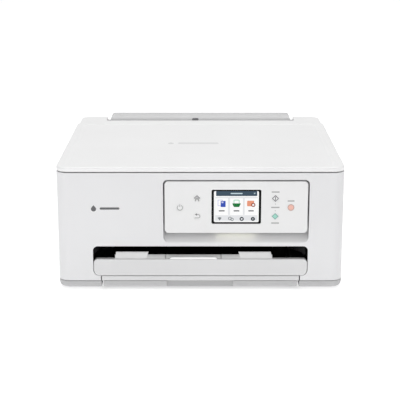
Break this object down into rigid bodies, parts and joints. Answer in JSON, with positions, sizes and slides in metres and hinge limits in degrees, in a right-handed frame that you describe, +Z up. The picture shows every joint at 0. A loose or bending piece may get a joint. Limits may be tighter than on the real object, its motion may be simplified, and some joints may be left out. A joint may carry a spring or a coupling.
{
  "type": "inkjet printer",
  "caption": "Desktop inkjet printer and flatbed scanner with a tilting touch panel, a front paper cassette, an output tray and a rear paper feed.",
  "frame": {"origin": "under the middle of the feet, on the surface that the printer stands on", "axes": "+X to the right of a person facing the front, +Y towards the back, +Z up"},
  "size_m": [0.378, 0.359, 0.172],
  "materials": {
    "body_white": "satin moulded plastic, off-white",
    "lid_white": "satin moulded plastic, bright white",
    "panel_white": "smooth satin plastic, white",
    "base_grey": "satin moulded plastic, light grey",
    "cover_grey": "satin moulded plastic, light grey",
    "inner_grey": "moulded plastic, mid grey",
    "black_plastic": "moulded plastic, black",
    "platen_glass": "clear float glass",
    "touchscreen": "glossy screen",
    "light_lens": "diffusing lens, warm white",
    "rubber": "matt rubber",
    "steel": "zinc-plated sheet steel",
    "pad_foam": "white film over foam",
    "circuit_board": "green solder mask",
    "cartridge": "moulded plastic, near black"
  },
  "bodies": {
    "root": {"base_case": "base_grey", "main_case": "body_white", "rear_deck": "body_white", "foot_front_left": "rubber", "foot_rear_left": "rubber", "foot_front_right": "rubber", "foot_rear_right": "rubber", "bay_liner": "black_plastic", "feed_chute": "inner_grey", "print_chassis": "steel", "drive_belt": "rubber", "carriage_motor": "steel", "platen": "black_plastic", "purge_unit": "inner_grey", "main_board": "circuit_board", "power_supply": "black_plastic"},
    "jam_cover": {"rear_jam_cover": "inner_grey"},
    "scanner": {"scanner_case": "inner_grey", "scanner_frame": "lid_white", "platen_glass": "platen_glass", "lid_hinge_left": "steel", "lid_hinge_right": "steel"},
    "scan_head": {"scan_carriage": "black_plastic"},
    "lid": {"document_cover": "lid_white", "document_pad": "pad_foam"},
    "stay": {"scanner_stay": "black_plastic"},
    "panel": {"panel_fascia": "panel_white", "panel_back": "inner_grey", "touchscreen": "touchscreen", "status_light": "light_lens"},
    "key_power": {"key_power": "panel_white"},
    "key_home": {"key_home": "panel_white"},
    "key_return": {"key_return": "panel_white"},
    "key_start_mono": {"key_start_mono": "panel_white"},
    "key_start_colour": {"key_start_colour": "panel_white"},
    "key_stop": {"key_stop": "panel_white"},
    "tray": {"output_tray": "body_white", "output_tray_bed": "black_plastic"},
    "extension": {"tray_extension": "body_white"},
    "cassette": {"cassette": "inner_grey", "cassette_front": "body_white"},
    "width_guide_left": {"width_guide_left": "inner_grey"},
    "width_guide_right": {"width_guide_right": "inner_grey"},
    "length_guide": {"length_guide": "inner_grey"},
    "rear_cover": {"rear_tray_cover": "cover_grey"},
    "paper_support": {"rear_paper_support": "cover_grey"},
    "rear_guide_left": {"rear_guide_left": "cover_grey"},
    "rear_guide_right": {"rear_guide_right": "cover_grey"},
    "carriage": {"print_carriage": "black_plastic", "cartridge_black": "cartridge", "cartridge_colour": "cartridge"},
    "latch_black": {"cartridge_latch_black": "inner_grey"},
    "latch_colour": {"cartridge_latch_colour": "inner_grey"},
    "motor_pulley": {"motor_pulley": "steel"},
    "idler_pulley": {"idler_pulley": "steel"},
    "feed_roller": {"feed_roller": "steel"},
    "eject_roller": {"eject_roller": "rubber"},
    "pick_up_arm": {"pick_up_arm": "inner_grey"},
    "pick_up_roller": {"pick_up_roller": "rubber"},
    "purge_cap": {"purge_cap": "rubber"}
  },
  "joints": [
    {"name": "scanner_lift", "type": "hinge", "parent": "root", "child": "scanner", "pos_m": [0, 0.122, 0.16], "axis": [-1, 0, 0], "range_deg": [0, 28]},
    {"name": "lid_hinge", "type": "hinge", "parent": "scanner", "child": "lid", "pos_m": [0, 0.1145, 0.165], "axis": [-1, 0, 0], "range_deg": [0, 80]},
    {"name": "scan_head_travel", "type": "slide", "parent": "scanner", "child": "scan_head", "axis": [1, 0, 0], "range_m": [0, 0.28]},
    {"name": "stay_swing", "type": "hinge", "parent": "root", "child": "stay", "pos_m": [0.1832, 0.09, 0.121], "axis": [-1, 0, 0], "range_deg": [0, 45]},
    {"name": "panel_tilt", "type": "hinge", "parent": "root", "child": "panel", "pos_m": [0.0469, -0.176, 0.146], "axis": [-1, 0, 0], "range_deg": [0, 45]},
    {"name": "press_power", "type": "slide", "parent": "panel", "child": "key_power", "axis": [0, 1, 0], "range_m": [0, 0.0006], "stiffness_N_per_m": 500},
    {"name": "press_home", "type": "slide", "parent": "panel", "child": "key_home", "axis": [0, 1, 0], "range_m": [0, 0.0006], "stiffness_N_per_m": 500},
    {"name": "press_return", "type": "slide", "parent": "panel", "child": "key_return", "axis": [0, 1, 0], "range_m": [0, 0.0006], "stiffness_N_per_m": 500},
    {"name": "press_start_mono", "type": "slide", "parent": "panel", "child": "key_start_mono", "axis": [0, 1, 0], "range_m": [0, 0.0006], "stiffness_N_per_m": 500},
    {"name": "press_start_colour", "type": "slide", "parent": "panel", "child": "key_start_colour", "axis": [0, 1, 0], "range_m": [0, 0.0006], "stiffness_N_per_m": 500},
    {"name": "press_stop", "type": "slide", "parent": "panel", "child": "key_stop", "axis": [0, 1, 0], "range_m": [0, 0.0006], "stiffness_N_per_m": 500},
    {"name": "tray_slide", "type": "slide", "parent": "root", "child": "tray", "axis": [0, -1, 0], "range_m": [0, 0.07]},
    {"name": "extension_slide", "type": "slide", "parent": "tray", "child": "extension", "axis": [0, -1, 0], "range_m": [0, 0.065]},
    {"name": "cassette_slide", "type": "slide", "parent": "root", "child": "cassette", "axis": [0, -1, 0], "range_m": [0, 0.28]},
    {"name": "width_guide_slide", "type": "slide", "parent": "cassette", "child": "width_guide_left", "axis": [1, 0, 0], "range_m": [0, 0.055]},
    {"name": "width_guide_follow", "type": "slide", "parent": "cassette", "child": "width_guide_right", "axis": [-1, 0, 0], "range_m": [0, 0.055]},
    {"name": "length_guide_slide", "type": "slide", "parent": "cassette", "child": "length_guide", "axis": [0, -1, 0], "range_m": [0, 0.1]},
    {"name": "rear_cover_hinge", "type": "hinge", "parent": "root", "child": "rear_cover", "pos_m": [0, 0.167, 0.167], "axis": [-1, 0, 0], "range_deg": [0, 90]},
    {"name": "paper_support_slide", "type": "slide", "parent": "root", "child": "paper_support", "axis": [0, 0, 1], "range_m": [0, 0.085]},
    {"name": "rear_guide_slide", "type": "slide", "parent": "root", "child": "rear_guide_left", "axis": [1, 0, 0], "range_m": [0, 0.055]},
    {"name": "rear_guide_follow", "type": "slide", "parent": "root", "child": "rear_guide_right", "axis": [-1, 0, 0], "range_m": [0, 0.055]},
    {"name": "carriage_travel", "type": "slide", "parent": "root", "child": "carriage", "axis": [-1, 0, 0], "range_m": [0, 0.25]},
    {"name": "latch_black_hinge", "type": "hinge", "parent": "carriage", "child": "latch_black", "pos_m": [0.117, 0.016, 0.11], "axis": [-1, 0, 0], "range_deg": [0, 35]},
    {"name": "latch_colour_hinge", "type": "hinge", "parent": "carriage", "child": "latch_colour", "pos_m": [0.1515, 0.016, 0.11], "axis": [-1, 0, 0], "range_deg": [0, 35]},
    {"name": "motor_pulley_spin", "type": "hinge", "parent": "root", "child": "motor_pulley", "pos_m": [-0.138, 0.049, 0.086], "axis": [0, -1, 0], "range_deg": [0, 2400]},
    {"name": "idler_pulley_spin", "type": "hinge", "parent": "root", "child": "idler_pulley", "pos_m": [0.166, 0.049, 0.086], "axis": [0, -1, 0], "range_deg": [0, 2400]},
    {"name": "feed_roller_spin", "type": "hinge", "parent": "root", "child": "feed_roller", "pos_m": [0, 0.053, 0.052], "axis": [1, 0, 0], "continuous": true},
    {"name": "eject_roller_spin", "type": "hinge", "parent": "root", "child": "eject_roller", "pos_m": [0, -0.04, 0.05], "axis": [1, 0, 0], "continuous": true},
    {"name": "pick_up_arm_drop", "type": "hinge", "parent": "root", "child": "pick_up_arm", "pos_m": [-0.016, 0.07, 0.039], "axis": [-1, 0, 0], "range_deg": [0, 25], "stiffness_Nm_per_rad": 0.02, "springref_deg": -22.92},
    {"name": "pick_up_roller_spin", "type": "hinge", "parent": "pick_up_arm", "child": "pick_up_roller", "pos_m": [-0.023, 0.097, 0.0304], "axis": [1, 0, 0], "continuous": true},
    {"name": "purge_cap_drop", "type": "slide", "parent": "root", "child": "purge_cap", "axis": [0, 0, -1], "range_m": [0, 0.004], "stiffness_N_per_m": 80, "springref_m": -0.004},
    {"name": "jam_cover_pull", "type": "slide", "parent": "root", "child": "jam_cover", "axis": [0, 1, 0], "range_m": [0, 0.03]}
  ],
  "couplings": [
    {"joint": "stay_swing", "follows": "scanner_lift", "ratio": 1.6},
    {"joint": "width_guide_follow", "follows": "width_guide_slide", "ratio": 1},
    {"joint": "rear_guide_follow", "follows": "rear_guide_slide", "ratio": 1},
    {"joint": "motor_pulley_spin", "follows": "carriage_travel", "rad_per_m": 166.67},
    {"joint": "idler_pulley_spin", "follows": "carriage_travel", "rad_per_m": 166.67},
    {"joint": "eject_roller_spin", "follows": "feed_roller_spin", "ratio": 1.2}
  ]
}
